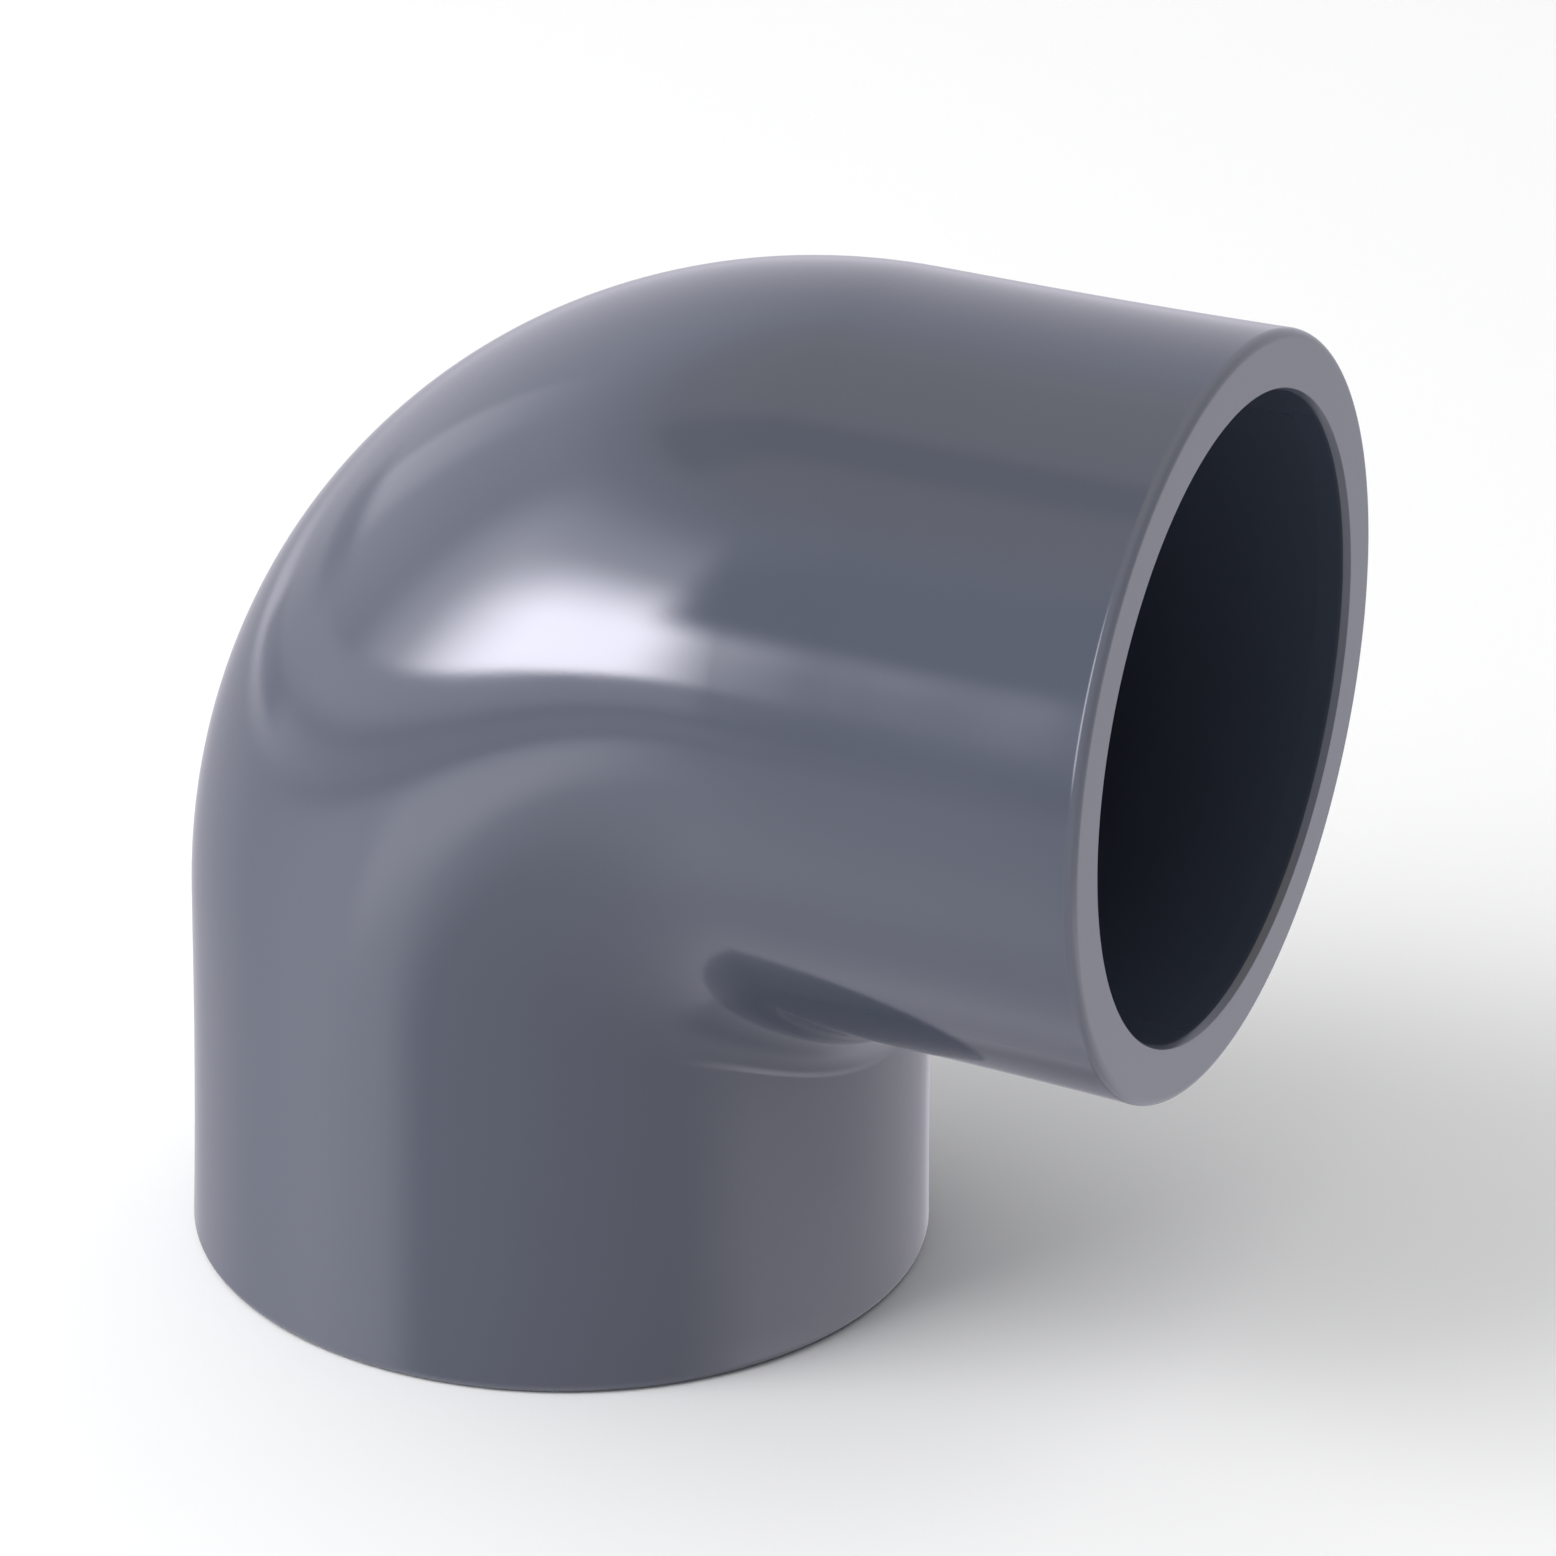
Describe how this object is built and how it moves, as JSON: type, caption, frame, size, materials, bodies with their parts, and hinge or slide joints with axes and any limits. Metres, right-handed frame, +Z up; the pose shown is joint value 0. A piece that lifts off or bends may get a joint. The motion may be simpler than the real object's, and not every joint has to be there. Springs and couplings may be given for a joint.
{
  "type": "pipe elbow fitting",
  "caption": "Right-angled elbow in hard PVC with plain sockets at both ends, into which rigid pressure pipe is cemented.",
  "frame": {"origin": "centre of the lower socket's mouth, which the elbow stands on", "axes": "+Z up the lower socket's axis, +X the way the side socket faces, the two axes crossing 70.5 mm above the origin"},
  "size_m": [0.1082, 0.0754, 0.1082],
  "materials": {
    "grey_pvc": "smooth moulded gloss"
  },
  "bodies": {
    "root": {"elbow_body": "grey_pvc"}
  },
  "joints": []
}
